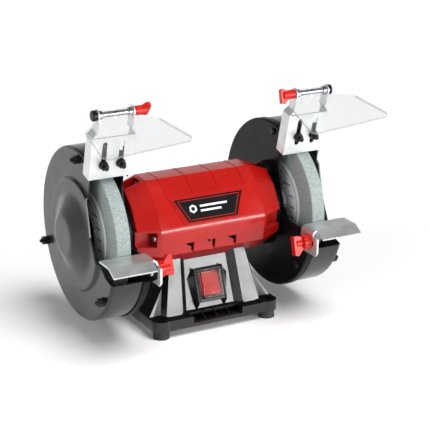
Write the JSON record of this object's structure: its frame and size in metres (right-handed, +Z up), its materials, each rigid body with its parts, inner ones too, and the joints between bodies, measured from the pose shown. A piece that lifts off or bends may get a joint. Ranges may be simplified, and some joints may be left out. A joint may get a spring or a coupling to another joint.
{
  "type": "bench grinder",
  "caption": "Double-ended bench grinder: faceted motor on a flanged pyramid base, guarded abrasive wheels, sliding tool rests, spark brackets and tilting clear eye shields.",
  "frame": {"origin": "centre of the four mounting holes, on the surface the feet stand on", "axes": "+X along the spindle to the right wheel, +Y to the back, away from the switch, +Z up"},
  "size_m": [0.3432, 0.2106, 0.265],
  "materials": {
    "red_housing": "glossy red enamel",
    "black_base": "glossy black moulded plastic",
    "switch_black": "smooth black",
    "badge_black": "satin black",
    "rubber_black": "matt",
    "switch_red": "lit red",
    "clear_cover": "clear",
    "clear_shield": "clear",
    "knob_red": "glossy red",
    "guard_black": "satin black enamel",
    "shield_black": "glossy black enamel",
    "abrasive": "grainy grey-green",
    "label_paper": "paper",
    "zinc_plate": "bright zinc plating",
    "bright_steel": "turned and plated",
    "black_steel": "blackened",
    "copper": "enamelled copper wire",
    "brass_blades": "plain",
    "cage_aluminium": "cast",
    "lead_black": "insulated wire"
  },
  "bodies": {
    "grinder": {"badge_plate": "badge_black", "base_housing": "black_base", "base_motor_screws": "bright_steel", "base_plate": "bright_steel", "base_plate_screws": "bright_steel", "bearing_outer_rings": "bright_steel", "bearing_wave_washer": "bright_steel", "bracket_bolts": "black_steel", "cable_gland": "switch_black", "capacitor_clip": "bright_steel", "cover_nuts": "black_steel", "cover_screws": "black_steel", "end_cap_left": "red_housing", "end_cap_right": "red_housing", "end_cap_screws": "bright_steel", "end_shield_left": "shield_black", "end_shield_right": "shield_black", "guard_cover_left": "guard_black", "guard_cover_right": "guard_black", "guard_screws": "bright_steel", "inner_guard_left": "guard_black", "inner_guard_right": "guard_black", "internal_leads": "lead_black", "motor_shell": "red_housing", "rest_bolts": "bright_steel", "rubber_feet": "rubber_black", "run_capacitor": "cage_aluminium", "stator_core": "bright_steel", "stator_windings": "copper", "switch_cover": "clear_cover", "switch_frame": "switch_black", "switch_terminals": "brass_blades", "terminal_block": "switch_black"},
    "rotor": {"spindle": "bright_steel", "rotor_core": "bright_steel", "rotor_end_rings": "cage_aluminium", "bearing_inner_rings": "bright_steel", "bearing_balls": "bright_steel", "wheel_blotters": "label_paper", "inner_flanges": "bright_steel", "outer_flanges": "bright_steel", "spindle_nuts": "bright_steel", "grinding_wheel_left": "abrasive", "grinding_wheel_right": "abrasive"},
    "rocker": {"switch_rocker": "switch_red"},
    "bracket_right": {"spark_bracket_right": "zinc_plate", "hinge_rod_right": "bright_steel", "rod_collars_right": "bright_steel"},
    "shield_right": {"eye_shield_right": "clear_shield"},
    "shield_clamp_right": {"shield_knob_right": "knob_red"},
    "rest_right": {"tool_rest_right": "zinc_plate"},
    "rest_clamp_right": {"rest_knob_right": "knob_red"},
    "bracket_left": {"spark_bracket_left": "zinc_plate", "hinge_rod_left": "bright_steel", "rod_collars_left": "bright_steel"},
    "shield_left": {"eye_shield_left": "clear_shield"},
    "shield_clamp_left": {"shield_knob_left": "knob_red"},
    "rest_left": {"tool_rest_left": "zinc_plate"},
    "rest_clamp_left": {"rest_knob_left": "knob_red"}
  },
  "joints": [
    {"name": "rotor_spin", "type": "hinge", "parent": "grinder", "child": "rotor", "pos_m": [0, 0, 0.114], "axis": [1, 0, 0], "continuous": true},
    {"name": "switch_rock", "type": "hinge", "parent": "grinder", "child": "rocker", "pos_m": [0, -0.0396, 0.04509], "axis": [1, 0, 0], "range_deg": [0, 16]},
    {"name": "bracket_slide_right", "type": "slide", "parent": "grinder", "child": "bracket_right", "axis": [0, -0.2588, 0.9659], "range_m": [0, 0.008]},
    {"name": "shield_tilt_right", "type": "hinge", "parent": "bracket_right", "child": "shield_right", "pos_m": [0.11615, -0.05305, 0.25125], "axis": [1, 0, 0], "range_deg": [-95, 9]},
    {"name": "shield_knob_turn_right", "type": "hinge", "parent": "bracket_right", "child": "shield_clamp_right", "pos_m": [0.088, -0.05305, 0.25125], "axis": [-1, 0, 0], "range_deg": [0, 720]},
    {"name": "rest_slide_right", "type": "slide", "parent": "grinder", "child": "rest_right", "axis": [0, 1, 0], "range_m": [-0.008, 0.0025]},
    {"name": "rest_knob_turn_right", "type": "hinge", "parent": "grinder", "child": "rest_clamp_right", "pos_m": [0.081, -0.095, 0.097], "axis": [-1, 0, 0], "range_deg": [0, 720]},
    {"name": "bracket_slide_left", "type": "slide", "parent": "grinder", "child": "bracket_left", "axis": [0, -0.2588, 0.9659], "range_m": [-0.005, 0.003]},
    {"name": "shield_tilt_left", "type": "hinge", "parent": "bracket_left", "child": "shield_left", "pos_m": [-0.11615, -0.05435, 0.25608], "axis": [1, 0, 0], "range_deg": [-95, 9]},
    {"name": "shield_knob_turn_left", "type": "hinge", "parent": "bracket_left", "child": "shield_clamp_left", "pos_m": [-0.088, -0.05435, 0.25608], "axis": [1, 0, 0], "range_deg": [0, 720]},
    {"name": "rest_slide_left", "type": "slide", "parent": "grinder", "child": "rest_left", "axis": [0, 1, 0], "range_m": [-0.008, 0.0025]},
    {"name": "rest_knob_turn_left", "type": "hinge", "parent": "grinder", "child": "rest_clamp_left", "pos_m": [-0.081, -0.095, 0.097], "axis": [1, 0, 0], "range_deg": [0, 720]}
  ]
}
